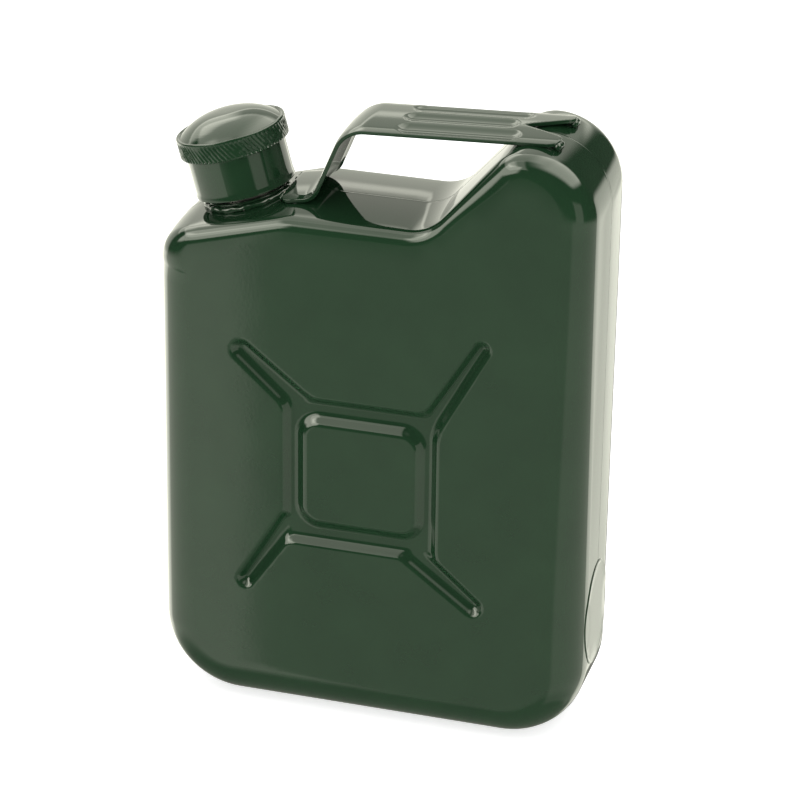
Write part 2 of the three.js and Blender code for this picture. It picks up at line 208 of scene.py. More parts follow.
def subdivide(profile, longest, closed=True):
    out = []
    count = len(profile)
    for i in range(count if closed else count - 1):
        a, b = profile[i], profile[(i + 1) % count]
        steps = max(1, math.ceil(math.dist(a, b) / longest))
        for k in range(steps):
            t = k / steps
            out.append((a[0] + (b[0] - a[0]) * t, a[1] + (b[1] - a[1]) * t))
    if not closed:
        out.append(profile[-1])
    return out


def triangulate(outline, inner):
    """Triangles over a closed 2D outline and loose points inside it."""
    coords = [Vector(p) for p in outline] + [Vector(p) for p in inner]
    ring = list(range(len(outline)))
    verts, _, faces, _, _, _ = geometry.delaunay_2d_cdt(coords, [], [ring], 1, 1e-5)
    return [(v.x, v.y) for v in verts], [tuple(f) for f in faces]


def inside_polygon(points, polygon, margin):
    """Which points are inside the polygon and further than margin from its sides."""
    x, y = points[:, 0], points[:, 1]
    inside = np.zeros(len(points), bool)
    nearest = np.full(len(points), 1e9)
    for (ax, ay), (bx, by) in zip(polygon, polygon[1:] + polygon[:1]):
        crosses = (ay > y) != (by > y)
        edge = (bx - ax) * (y - ay) / (by - ay if by != ay else 1e-9) + ax
        inside ^= crosses & (x < edge)
        length2 = max((bx - ax) ** 2 + (by - ay) ** 2, 1e-12)
        t = np.clip(((x - ax) * (bx - ax) + (y - ay) * (by - ay)) / length2, 0, 1)
        gap = np.hypot(x - ax - t * (bx - ax), y - ay - t * (by - ay))
        nearest = np.minimum(nearest, gap)
    return inside & (nearest > margin)


def lattice(low, high, spacing):
    """Points in staggered rows, which give even triangles."""
    rows = np.arange(low[1], high[1], spacing * 0.866)
    cols = np.arange(low[0], high[0], spacing)
    return np.array([
        (c + (i % 2) * spacing / 2, r) for i, r in enumerate(rows) for c in cols
    ])


def corner_arc(before, here, after, radius, turn_step=None, steps=16):
    """Points and outward normals round a corner of a path.

    turn_step, in radians, sets how many steps there are from how far the path turns.
    """
    here = Vector(here)
    arriving = (here - Vector(before)).normalized()
    leaving = (Vector(after) - here).normalized()
    turn = math.atan2(arriving.x * leaving.y - arriving.y * leaving.x, arriving.dot(leaving))
    side = math.copysign(1, turn)
    outward = Vector((arriving.y, -arriving.x))
    centre = here - arriving * radius * math.tan(abs(turn) / 2) - outward * side * radius
    if turn_step:
        steps = math.ceil(abs(turn) / turn_step)
    arc = []
    for k in range(steps + 1):
        normal = outward.copy()
        normal.rotate(Matrix.Rotation(turn * k / steps, 2))
        arc.append((centre + normal * side * radius, normal))
    return arc


def bead(name, path, radius, seed, rough=0.3, closed=False):
    """A lumpy weld bead: a tube along a path, with an uneven radius and rounded ends."""
    sides = 14
    points = []
    count = len(path)
    for i, here in enumerate(path):
        here = Vector(here)
        a = Vector(path[(i - 1) % count] if closed else path[max(i - 1, 0)])
        b = Vector(path[(i + 1) % count] if closed else path[min(i + 1, count - 1)])
        along = (b - a).normalized()
        side = along.cross(Vector((0, 0, 1))).normalized()
        up = side.cross(along)
        end = 1.0
        if not closed:
            reach = min(i, count - 1 - i) / (count - 1) * 2
            end = math.sqrt(max(1 - (1 - min(reach * 2.2, 1)) ** 2, 0.0)) + 0.02
        for k in range(sides):
            angle = 2 * math.pi * k / sides
            out = side * math.cos(angle) + up * math.sin(angle)
            sample = (here + out * radius) * 0.9 + Vector((seed, 0, 0))
            lump = 1 + rough * noise.noise(sample) + rough * 0.3 * noise.noise(sample * 2.1)
            points.append(here + out * radius * end * lump)
    faces = grid_faces(count, sides, wrap_rows=closed)
    if not closed:
        last = (count - 1) * sides
        faces += [tuple(range(sides)), tuple(last + k for k in range(sides))]
    return make(name, points, faces, sharp=180)


# ---- Body: the same outline as the CAD shells, finely divided ------------------------------


def body_corners():
    """x, z, corner radius, edge rounding at its start and end, crown of the narrow wall."""
    drop = (SHOULDER_X + WIDTH / 2) * math.tan(TILT)
    return [
        (-WIDTH / 2, 0, 17, (9, 9), 0),
        (WIDTH / 2, 0, 16.5, (9, 9), 0),
        (WIDTH / 2, HEIGHT, 13.6, (6.5, 3.8), 0.2),
        (RISE_TOP_X, HEIGHT, 8, (3.8, 4.2), 0.2),
        (RISE_FOOT_X, SADDLE_Z, 9, (2.5, 2.6), 0.7),
        (SHOULDER_X, SADDLE_Z, 14, (2.7, 2.7), 0.7),
        (-WIDTH / 2, SADDLE_Z - drop, 10, (3, 8.5), 0.5),
    ]


def rounded_path(corners, turn_step, spacing):
    """Points, outward normals and (rounding, crown) along a closed path of corners."""
    count = len(corners)
    arcs = []
    for i, (x, z, radius, (start, end), crown) in enumerate(corners):
        following = corners[(i + 1) % count]
        spots = corner_arc(corners[i - 1][:2], (x, z), following[:2], radius, turn_step)
        steps = len(spots) - 1
        arcs.append([
            (point, normal, (start + (end - start) * k / steps, crown))
            for k, (point, normal) in enumerate(spots)
        ])
    spots = []
    for arc, following in zip(arcs, arcs[1:] + arcs[:1]):
        spots += arc
        (a, normal, extra_a), (b, _, extra_b) = arc[-1], following[0]
        steps = max(1, round((b - a).length / spacing))
        for k in range(1, steps):
            t = k / steps
            ease = float(smoothstep(t))
            extras = tuple(p + (q - p) * ease for p, q in zip(extra_a, extra_b))
            spots.append((a.lerp(b, t), normal, extras))
    return spots


def wall_section(half_depth, rounding, crown):
    """[inset from the outline, distance from the middle] from the middle to the flat face."""
    crown_steps, round_steps = 8, 14
    lean = 0.0
    flat_half = half_depth - rounding
    for _ in range(4):
        lean = math.atan(2 * crown / flat_half)
        flat_half = half_depth - rounding * (1 - math.sin(lean))
    section = []
    first = SEAM_HALF / flat_half
    for k in range(crown_steps):
        share = first + (1 - first) * k / crown_steps
        section.append((crown * share * share, flat_half * share))
    for k in range(round_steps + 1):
        angle = lean + (math.pi / 2 - lean) * k / round_steps
        section.append((
            crown + rounding * (math.cos(lean) - math.cos(angle)),
            flat_half + rounding * (math.sin(angle) - math.sin(lean)),
        ))
    return section


def box_distance(x, z, centre, half, radius):
    dx = np.abs(x - centre[0]) - half[0] + radius
    dz = np.abs(z - centre[1]) - half[1] + radius
    outside = np.hypot(np.maximum(dx, 0), np.maximum(dz, 0))
    return outside + np.minimum(np.maximum(dx, dz), 0) - radius


def arm_distance(x, z, tip, root, wider):
    ax, az = root
    bx, bz = tip[0] - ax, tip[1] - az
    length2 = bx * bx + bz * bz
    t = np.clip(((x - ax) * bx + (z - az) * bz) / length2, 0, 1)
    radius = ARM_ROOT_R + (ARM_TIP_R - ARM_ROOT_R) * t + wider
    return np.hypot(x - ax - t * bx, z - az - t * bz) - radius


def blended_min(a, b, reach):
    share = np.clip(0.5 + 0.5 * (b - a) / reach, 0, 1)
    return b + (a - b) * share - reach * share * (1 - share)


def cross_distances(x, z):
    """Signed distances to the outside of the pressed cross and to the island in its middle."""
    outer = box_distance(x, z, PANEL, FRAME_HALF, FRAME_R)
    for arm in ARMS:
        outer = blended_min(outer, arm_distance(x, z, *arm), ARM_BLEND)
    return outer, box_distance(x, z, PANEL, ISLAND_HALF, ISLAND_R)


def cross_distance(x, z):
    """Signed distance to the pressed cross, negative inside its grooves."""
    outer, island = cross_distances(x, z)
    return np.maximum(outer, -island)


def groove_depth(x, z):
    outer, island = cross_distances(x, z)
    wall = smoothstep(np.clip(-outer / GROOVE_WALL, 0, 1) ** 0.8)
    inner_wall = smoothstep(np.clip(island / ISLAND_WALL, 0, 1) ** 0.8)
    return GROOVE_DEPTH * wall * inner_wall


def face_outwards(obj, side):
    """Turns an open shell's faces so that those furthest along side * Y look that way."""
    bm = bmesh.new()
    bm.from_mesh(obj.data)
    bmesh.ops.recalc_face_normals(bm, faces=bm.faces)
    front = max(bm.faces, key=lambda f: side * f.calc_center_median().y)
    if front.normal.y * side < 0:
        bmesh.ops.reverse_faces(bm, faces=bm.faces)
    bm.to_mesh(obj.data)
    bm.free()


def half_shell(name, side):
    """A pressed half of the body: the narrow wall, the rounded edge and the face with its cross."""
    spots = rounded_path(body_corners(), math.radians(4), 2.5)
    walls = [wall_section(DEPTH / 2, rounding, crown) for _, _, (rounding, crown) in spots]
    rows = len(walls[0])
    points = []
    for row in range(rows):
        for (point, normal, _), section in zip(spots, walls):
            inset, out = section[row]
            p = point - normal * inset
            points.append((p.x, side * out, p.y))
    faces = grid_faces(rows, len(spots))
    rim = [(points[i][0], points[i][2]) for i in range((rows - 1) * len(spots), len(points))]
    coarse = lattice((-45, 0), (45, 130), 4.0)
    fine = lattice((-30, 25), (28, 92), 0.36)
    near = cross_distance(fine[:, 0], fine[:, 1]) < 0.7
    coarse = coarse[cross_distance(coarse[:, 0], coarse[:, 1]) > 1.2]
    coarse = coarse[inside_polygon(coarse, rim, 1.2)]
    flat, triangles = triangulate(rim, [tuple(p) for p in fine[near]] + [tuple(p) for p in coarse])
    first = len(points)
    xs = np.array([p[0] for p in flat])
    zs = np.array([p[1] for p in flat])
    depth = groove_depth(xs, zs)
    points += [(x, side * (DEPTH / 2 - d), z) for x, z, d in zip(xs, zs, depth)]
    faces += [tuple(first + i for i in tri) for tri in triangles]
    obj = make(name, points, faces, sharp=180)
    face_outwards(obj, side)
    thicken(obj, WALL, -1)
    bake(obj, 60)
    return obj


NECK_PLACE = (
    Matrix.Translation((NECK_X, 0, SADDLE_Z - (SHOULDER_X - NECK_X) * math.tan(TILT)))
    @ Matrix.Rotation(-TILT, 4, "Y")
)


def cut_neck_hole(objs):
    radius = NECK_R + HOLE_SLACK
    points, faces = turned([(0, -9), (radius, -9), (radius, 7), (0, 7)], 64)
    cutter = make("neck_hole", points, faces, NECK_PLACE)
    for obj in objs:
        mod = obj.modifiers.new("neck_hole", "BOOLEAN")
        mod.operation = "DIFFERENCE"
        mod.solver = "EXACT"
        mod.object = cutter
        bake(obj, 60)
    bpy.data.objects.remove(cutter)


def seam():
    """The weld along the middle, a shallow uneven strip between the two half shells."""
    spots = rounded_path(body_corners(), math.radians(4), 0.8)
    across = [-1, -0.6, 0, 0.6, 1]
    rows = []
    for share in across:
        for i, (point, normal, _) in enumerate(spots):
            ripple = noise.noise(Vector((point.x, share, point.y)) * 0.6)
            sunk = 0.003 + 0.02 * abs(ripple) * (1 - share * share) + 0.03 * share ** 4
            p = point - normal * sunk
            rows.append((p.x, share * (SEAM_HALF + 0.03), p.y))
    for share in reversed(across):
        for point, normal, _ in spots:
            p = point - normal * WALL
            rows.append((p.x, share * (SEAM_HALF - 0.004), p.y))
    return make("seam_bead", rows, grid_faces(2 * len(across), len(spots), wrap_rows=True))


# ---- Neck and cap -------------------------------------------------------------------------


def thread_height(h, angle, start, turns):
    """How much of a thread ridge there is at a height and angle, from 0 to 1."""
    turn = angle / (2 * math.pi)
    lift = (h - start) / PITCH
    whole = round(lift - turn)
    along = turn + whole
    away = abs(lift - along) * PITCH
    ridge = 1 - smoothstep((away - 0.25) / 0.3)
    ends = smoothstep(along / 0.12) * smoothstep((turns - along) / 0.12)
    return float(ridge * ends)


def neck():
    corners = [
        (BORE_R, NECK_TAIL, 0), (NECK_R, NECK_TAIL, 0), (NECK_R, NECK_TOP, 0.4),
        (BORE_R, NECK_TOP, 0.4),
    ]
    profile = subdivide(smooth_profile(corners), 0.16)

    def radius(r, h, angle):
        if r < NECK_R - 0.01:
            return r
        return r + (THREAD_R - NECK_R) * thread_height(
            h, angle, NECK_THREAD_START, NECK_THREAD_TURNS)

    points, faces = turned(profile, 120, radius)
    return make("neck_tube", points, faces, NECK_PLACE)


def collar():
    bore = NECK_R + 0.12
    corners = [
        (bore, COLLAR_LOW, 0), (COLLAR_R, COLLAR_LOW, 0), (COLLAR_R, COLLAR_HIGH, 0.35),
        (bore, COLLAR_HIGH, 0.2),
    ]

    def radius(r, h, angle):
        lump = noise.noise(Vector((math.cos(angle) * 5, math.sin(angle) * 5, h)))
        return r + (0.06 * lump if r > COLLAR_R - 0.5 else 0)

    points, faces = turned(subdivide(smooth_profile(corners, 0.1), 0.3), 96, radius)
    return make("collar_ring", points, faces, NECK_PLACE)


def neck_weld():
    path = []
    steps = 120
    for k in range(steps):
        angle = 2 * math.pi * k / steps
        wander = 0.15 * noise.noise(Vector((math.cos(angle) * 2, math.sin(angle) * 2, 4)))
        r = NECK_WELD_R + wander
        p = NECK_PLACE @ Vector((r * math.cos(angle), r * math.sin(angle), NECK_WELD_H))
        path.append(tuple(p))
    return bead("neck_weld_bead", path, NECK_WELD_THICK, 3.0, 0.6, closed=True)


def cap_cover():
    t = CAP_SHEET
    low = RIM_H - HEAD_BAND
    dome = []
    for k in range(19):
        share = 1 - k / 18
        dome.append((10.3 * share, RIM_H - 0.3 + (DOME + 0.3) * (1 - share ** 2.8)))
    corners = [
        (0, RIM_H + DOME - t, 0), (4.5, RIM_H + DOME - t - 0.4, 2), (9.3, RIM_H - t - 0.1, 0.6),
        (HEAD_R - t - 0.1, RIM_H - 1.0, 0.4), (HEAD_R - t - 0.1, low + t + 0.1, 0.3),
        (SKIRT_R - t, low + t, 0.2), (SKIRT_R - t, SKIRT_BOTTOM, 0.15),
        (SKIRT_R + 0.14, SKIRT_BOTTOM, 0.12), (SKIRT_R + 0.1, SKIRT_BOTTOM + 0.5, 0.3),
        (SKIRT_R, SKIRT_BOTTOM + 1.0, 0.3), (SKIRT_R, low, 0.15),
        (HEAD_R, low, 0.45), (HEAD_R, RIM_H - 0.1, 0.75), (10.6, RIM_H - 0.1, 0.3),
        (10.4, RIM_H - 0.3, 0.12),
    ]
    outer = smooth_profile(corners)
    profile = subdivide(outer + dome, 0.3, closed=False)

    def radius(r, h, angle):
        if r < HEAD_R - 0.12 or h < low:
            return r
        band = smoothstep((h - low - 0.15) / 0.3) * smoothstep((RIM_H - 0.5 - h) / 0.5)
        spot = Vector((math.cos(angle), math.sin(angle), h * 0.12))
        depth = 0.62 + 0.75 * noise.noise(spot * 2.6) + 0.35 * noise.noise(spot * 11)
        wobble = 0.6 * noise.noise(spot * 8)
        turn = KNURLS * (angle + KNURL_SLANT * (h - low)) + wobble
        tooth = 0.5 - 0.5 * math.cos(turn)
        return r - KNURL_DEPTH * float(band) * depth * tooth ** 0.8

    points, faces = turned(profile, KNURLS * 8, radius)
    return make("cap_cover", points, faces, NECK_PLACE, 50)


def cap_liner():
    roof = RIM_H - CAP_SHEET - 0.3
    corners = [
        (0, roof - 0.8, 0), (INSERT_ROOT_R, roof - 0.8, 0.2),
        (INSERT_ROOT_R, SKIRT_BOTTOM + 0.3, 0.15), (INSERT_R, SKIRT_BOTTOM + 0.3, 0.15),
        (INSERT_R, roof, 0.3), (0, roof, 0),
    ]
    profile = subdivide(smooth_profile(corners), 0.2, closed=False)

    def radius(r, h, angle):
        if abs(r - INSERT_ROOT_R) > 0.02 or h > roof - 1:
            return r
        return r - (INSERT_ROOT_R - INSERT_THREAD_R) * thread_height(
            h, angle, INSERT_THREAD_START, INSERT_THREAD_TURNS)

    points, faces = turned(profile, 96, radius)
    return make("cap_liner", points, faces, NECK_PLACE)


def washer():
    low = NECK_TOP + 0.3
    high = RIM_H - CAP_SHEET - 0.6 - 0.8
    corners = [(0, low, 0), (7.8, low, 0.15), (7.8, high, 0.15), (0, high, 0)]
    points, faces = turned(subdivide(smooth_profile(corners), 0.5, closed=False), 72)
    return make("seal_washer", points, faces, NECK_PLACE)


# ---- Handle -------------------------------------------------------------------------------


def strap_line():
    """The strap's middle line from its foot to its welded end, seen from the front."""
    def grip(x):
        return STRAP_Z + STRAP_SLOPE * x

    knots = [
        (FOOT_END_X, 111.3, 0), (-13.6, 112.4, 3.2), (-7.3, grip(-7.3), 7),
        (STRAP_END_X, grip(STRAP_END_X), 0),
    ]
    line = []
    for i, (x, z, radius) in enumerate(knots):
        if radius == 0:
            line.append(Vector((x, z)))
            continue
        arc = corner_arc(knots[i - 1][:2], (x, z), knots[i + 1][:2], radius)
        line += [point for point, _ in arc]
    return line


def flute_depth(x, y):
    depth = 0.0
    for low, high, centre in FLUTES:
        nearest = min(max(x, low + FLUTE_HALF), high - FLUTE_HALF)
        away = math.hypot(x - nearest, y - centre) / FLUTE_HALF
        if away < 1:
            depth = max(depth, FLUTE_DEPTH * (1 - away * away) ** 0.75)
    return depth


def handle():
    line = strap_line()
    lengths = [0.0]
    for a, b in zip(line, line[1:]):
        lengths.append(lengths[-1] + (b - a).length)
    total = lengths[-1]

    def at(s):
        i = min(max(int(np.searchsorted(lengths, s)), 1), len(line) - 1)
        a, b = line[i - 1], line[i]
        t = (s - lengths[i - 1]) / (lengths[i] - lengths[i - 1])
        return a.lerp(b, t)

    def normal_at(s):
        along = (at(min(s + 0.4, total)) - at(max(s - 0.4, 0))).normalized()
        return Vector((-along.y, along.x))

    tip = total - (STRAP_END_X - NOTCH_TIP_X)
    outline = [
        (0.0, -STRAP_HALF + 1.5), (0.45, -STRAP_HALF + 0.45), (1.5, -STRAP_HALF),
        (total - 2.0, -STRAP_HALF), (total - 0.6, -STRAP_HALF + 0.5),
        (total, -STRAP_HALF + 1.6), (total, -NOTCH_HALF - 0.8), (total - 0.7, -NOTCH_HALF + 0.2),
        (tip + 0.5, -0.45), (tip, 0.0), (tip + 0.5, 0.45),
        (total - 0.7, NOTCH_HALF - 0.2), (total, NOTCH_HALF + 0.8), (total, STRAP_HALF - 1.6),
        (total - 0.6, STRAP_HALF - 0.5), (total - 2.0, STRAP_HALF), (1.5, STRAP_HALF),
        (0.45, STRAP_HALF - 0.45), (0.0, STRAP_HALF - 1.5),
    ]
    outline = subdivide(outline, 0.45)
    inner = lattice((0, -STRAP_HALF), (total, STRAP_HALF), 0.42)
    inner = inner[inside_polygon(inner, outline, 0.25)]
    flat, faces = triangulate(outline, [tuple(p) for p in inner])
    points = []
    for s, y in flat:
        spot, up = at(s), normal_at(s)
        side = abs(y) / STRAP_HALF
        fall = STRAP_CROWN * side ** 2 + STRAP_ROLL * float(smoothstep((side - 0.72) / 0.4)) ** 1.3
        p = spot - up * (flute_depth(spot.x, y) + fall)
        points.append((p.x, y, p.y))
    obj = make("strap_handle", points, faces, sharp=180)
    thicken(obj, STRAP_THICK, 0)
    bevel = obj.modifiers.new("edge", "BEVEL")
    bevel.width = STRAP_EDGE_BEVEL * MM
    bevel.segments = 2
    bevel.limit_method = "ANGLE"
    bevel.angle_limit = math.radians(60)
    bake(obj, 45)
    return obj


def prong_weld(name, side, seed):
    """A short painted bead across the end of a prong, slightly bowed."""
    path = []
    for k in range(20):
        bow = 0.9 * (k / 19 - 0.4) ** 2
        path.append((STRAP_END_X - 0.2 - bow, side * (4.9 + 0.16 * k), PRONG_WELD_Z))
    return bead(name, path, PRONG_WELD_THICK, seed, 0.2)


def foot_weld(name, side, seed):
    path = [(FOOT_END_X - 0.2, side * (3.2 + 0.2 * k), FOOT_WELD_Z) for k in range(20)]
    return bead(name, path, FOOT_WELD_THICK, seed, 0.35)


# ---- Label --------------------------------------------------------------------------------


def label():
    """A thin oval plate that follows the curve of the right-hand wall, with a raised rim."""
    _, _, corner, (_, rounding), _ = body_corners()[1]
    flat_half = DEPTH / 2 - rounding

    def wall_x(y, z):
        over = max(abs(y) - flat_half, 0) / rounding
        under = max(corner - z, 0) / corner
        inset = rounding * (1 - math.sqrt(1 - over * over))
        return WIDTH / 2 - inset - corner * (1 - math.sqrt(1 - under * under))

    points = []
    count = 96
    rim = [(1.0, -0.1), (1.0, 0.1), (0.99, 0.16), (0.975, 0.18), (0.955, 0.17), (0.94, 0.13)]
    steps = rim + [(share, LABEL_FACE) for share in (0.92, 0.75, 0.5, 0.25)]
    for share, rise in steps:
        for k in range(count):
            angle = 2 * math.pi * k / count
            y = LABEL_HALF_Y * share * math.cos(angle)
            z = LABEL_Z + LABEL_HALF_Z * share * math.sin(angle)
            points.append((wall_x(y, z) + rise, y, z))
    faces = grid_faces(len(steps), count)
    points.append((WIDTH / 2 + LABEL_FACE, 0, LABEL_Z))
    last = (len(steps) - 1) * count
    faces += [(last + k, last + (k + 1) % count, len(points) - 1) for k in range(count)]
    points.append((WIDTH / 2 - 0.3, 0, LABEL_Z))
    faces += [((k + 1) % count, k, len(points) - 1) for k in range(count)]
    return make("oval_label", points, faces, sharp=50)


# ---- Materials ----------------------------------------------------------------------------


class Nodes:
    """A short way to write a node tree."""

    def __init__(self, name):
        self.material = bpy.data.materials.new(name)
        self.material.use_nodes = True
        self.tree = self.material.node_tree
        self.tree.nodes.clear()
        self.coords = self.add("ShaderNodeTexCoord")
        self.shader = self.add("ShaderNodeBsdfPrincipled")
        out = self.add("ShaderNodeOutputMaterial")
        self.link(self.shader.outputs[0], out.inputs["Surface"])

    def add(self, kind, **values):
        node = self.tree.nodes.new(kind)
        for key, value in values.items():
            if key in node.inputs:
                node.inputs[key].default_value = value
            else:
                setattr(node, key, value)
        return node

    def link(self, a, b):
        self.tree.links.new(a, b)

    def noise(self, scale, detail=3.0, stretch=None):
        node = self.add("ShaderNodeTexNoise", Scale=scale, Detail=detail)
        source = self.coords.outputs["Object"]
        if stretch:
            mapping = self.add("ShaderNodeMapping", Scale=stretch)
            self.link(source, mapping.inputs["Vector"])
            source = mapping.outputs["Vector"]
        self.link(source, node.inputs["Vector"])
        return node.outputs["Fac"]

    def ramp(self, factor, stops):
        node = self.add("ShaderNodeValToRGB")
        elements = node.color_ramp.elements
        while len(elements) < len(stops):
            elements.new(0.5)
        for element, (position, colour) in zip(elements, stops):
            element.position = position
            element.color = (*colour, 1)
        self.link(factor, node.inputs["Fac"])
        return node.outputs["Color"]

    def range(self, value, low, high, out_low, out_high):
        node = self.add("ShaderNodeMapRange")
        node.inputs["From Min"].default_value = low
        node.inputs["From Max"].default_value = high
        node.inputs["To Min"].default_value = out_low
        node.inputs["To Max"].default_value = out_high
        self.link(value, node.inputs["Value"])
        return node.outputs["Result"]

    def mix(self, factor, a, b):
        node = self.add("ShaderNodeMix", data_type="RGBA")
        self.link(factor, node.inputs["Factor"])
        for source, socket in ((a, node.inputs[6]), (b, node.inputs[7])):
            if isinstance(source, tuple):
                socket.default_value = (*source, 1)
            else:
                self.link(source, socket)
        return node.outputs[2]

    def bump(self, height, strength, distance, normal=None):
        node = self.add("ShaderNodeBump", Strength=strength, Distance=distance)
        self.link(height, node.inputs["Height"])
        if normal:
            self.link(normal, node.inputs["Normal"])
        return node.outputs["Normal"]


GREENS = (0.0074, 0.0245, 0.0102), (0.0092, 0.0290, 0.0122)
GREEN_FLECK = (0.02, 0.045, 0.024)
CHIPPED_METAL = (0.42, 0.40, 0.36)


def enamel(name, peel=0.05, chips=0.0):
    """Glossy dark green enamel; chips is how much bare metal shows through on rough welds."""
    m = Nodes(name)
    tone = m.noise(90, 4)
    green = m.ramp(tone, [(0.3, GREENS[0]), (0.7, GREENS[1])])
    speck = m.noise(2600, 2)
    fleck = m.range(speck, 0.72, 0.76, 0.0, 0.35)
    colour = m.mix(fleck, green, GREEN_FLECK)
    wipe = m.noise(45, 5, (1, 1, 0.35))
    rough = m.range(wipe, 0.35, 0.7, 0.035, 0.075)
    if chips:
        patch = m.range(m.noise(190, 3), 0.62, 0.65, 0.0, chips)
        colour = m.mix(patch, colour, CHIPPED_METAL)
        m.link(patch, m.shader.inputs["Metallic"])
        rough = m.range(patch, 0.0, 1.0, 0.06, 0.32)
    m.link(colour, m.shader.inputs["Base Color"])
    m.link(rough, m.shader.inputs["Roughness"])
    m.shader.inputs["IOR"].default_value = 1.5
    waves = m.bump(m.noise(38, 2), 0.12, 0.0002)
    skin = m.bump(m.noise(1500, 2), peel, 0.00003, waves)
    m.link(skin, m.shader.inputs["Normal"])
    return m.material


def steel():
    m = Nodes("bare_steel")
    streak = m.noise(260, 5, (1, 1, 6))
    colour = m.ramp(streak, [(0.3, (0.30, 0.29, 0.27)), (0.7, (0.52, 0.51, 0.48))])
    grime = m.range(m.noise(420, 4), 0.55, 0.75, 0.0, 0.6)
    colour = m.mix(grime, colour, (0.05, 0.06, 0.05))
    m.link(colour, m.shader.inputs["Base Color"])
    m.link(m.range(streak, 0.3, 0.7, 0.2, 0.4), m.shader.inputs["Roughness"])
    m.shader.inputs["Metallic"].default_value = 1.0
    m.link(m.bump(m.noise(1800, 3), 0.25, 0.00004), m.shader.inputs["Normal"])
    return m.material


def nylon():
    m = Nodes("natural_nylon")
    cloud = m.noise(180, 4)
    colour = m.ramp(cloud, [(0.3, (0.58, 0.56, 0.50)), (0.7, (0.68, 0.66, 0.60))])
    m.link(colour, m.shader.inputs["Base Color"])
    m.link(m.range(cloud, 0.3, 0.7, 0.42, 0.6), m.shader.inputs["Roughness"])
    m.link(m.bump(m.noise(2200, 3), 0.2, 0.00003), m.shader.inputs["Normal"])
    return m.material


def rubber():
    m = Nodes("seal_rubber")
    dust = m.noise(700, 5)
    colour = m.ramp(dust, [(0.35, (0.012, 0.012, 0.012)), (0.8, (0.05, 0.05, 0.048))])
    m.link(colour, m.shader.inputs["Base Color"])
    m.link(m.range(dust, 0.3, 0.7, 0.6, 0.85), m.shader.inputs["Roughness"])
    m.link(m.bump(m.noise(3000, 3), 0.3, 0.00004), m.shader.inputs["Normal"])
    return m.material


def floor_finish():
    m = Nodes("studio_floor")
    tone = m.noise(3, 2)
    m.link(m.ramp(tone, [(0.3, (0.86, 0.86, 0.86)), (0.7, (0.88, 0.88, 0.88))]),
           m.shader.inputs["Base Color"])
    m.shader.inputs["Roughness"].default_value = 0.9
    m.shader.inputs["Specular IOR Level"].default_value = 0.1
    m.shader.inputs["Emission Color"].default_value = (1, 1, 1, 1)
    m.shader.inputs["Emission Strength"].default_value = 0.6
    return m.material


# ---- Build --------------------------------------------------------------------------------

PAINT = enamel("green_enamel")
WELD_PAINT = enamel("weld_enamel", 0.2, chips=1.0)
PRONG_PAINT = enamel("prong_enamel", 0.2)
SEAM_PAINT = enamel("seam_enamel", 0.15)

front = half_shell("front_half", -1)
back = half_shell("back_half", 1)
cut_neck_hole([front, back])

pieces = [
    (front, "flask", "front_shell", "enamel", PAINT),
    (back, "flask", "back_shell", "enamel", PAINT),
    (seam(), "flask", "seam_weld", "enamel", SEAM_PAINT),
    (neck(), "flask", "neck", "bare_steel", steel()),
    (collar(), "flask", "neck_collar", "enamel", WELD_PAINT),
    (neck_weld(), "flask", "neck_weld", "enamel", WELD_PAINT),
    (cap_cover(), "cap", "cap_shell", "enamel", PAINT),
    (cap_liner(), "cap", "cap_insert", "insert_plastic", nylon()),
    (washer(), "cap_seal", "cap_washer", "seal_rubber", rubber()),
    (handle(), "flask", "handle", "enamel", PAINT),
    (prong_weld("front_prong_bead", -1, 1.0), "flask", "front_prong_weld", "enamel", PRONG_PAINT),
    (prong_weld("rear_prong_bead", 1, 5.0), "flask", "rear_prong_weld", "enamel", PRONG_PAINT),
    (foot_weld("front_foot_bead", -1, 9.0), "flask", "front_foot_weld", "enamel", WELD_PAINT),
    (foot_weld("rear_foot_bead", 1, 13.0), "flask", "rear_foot_weld", "enamel", WELD_PAINT),
    (label(), "flask", "side_label", "enamel", SEAM_PAINT),
]
for obj, body, node, slot, finish in pieces:
    obj.data.materials.clear()
    obj.data.materials.append(finish)
    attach(obj, body)
    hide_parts(node)

# ---- Studio -------------------------------------------------------------------------------


def floor():
    reach, rings, sides = 3.0, 24, 96
    points = []
    for r in range(rings):
        radius = reach * (r / (rings - 1)) ** 2
        for k in range(sides):
            angle = 2 * math.pi * k / sides
            points.append((radius * math.cos(angle), radius * math.sin(angle), -0.00005))
    mesh = bpy.data.meshes.new("floor")
    mesh.from_pydata(points, [], grid_faces(rings, sides))
    obj = bpy.data.objects.new("floor", mesh)
    bpy.context.scene.collection.objects.link(obj)
    tidy_normals(obj, 180)
    mesh.materials.append(floor_finish())
    obj.visible_glossy = False


def softbox(name, centre, target, size, radiance):
    light = bpy.data.lights.new(name, "AREA")
    light.shape = "RECTANGLE"
    light.size, light.size_y = size
    light.energy = radiance * math.pi * size[0] * size[1]
    obj = bpy.data.objects.new(name, light)
    bpy.context.scene.collection.objects.link(obj)
    obj.location = centre
    obj.rotation_mode = "QUATERNION"
    obj.rotation_quaternion = (Vector(target) - Vector(centre)).to_track_quat("-Z", "Y")
    obj.visible_camera = False
    obj.visible_glossy = False


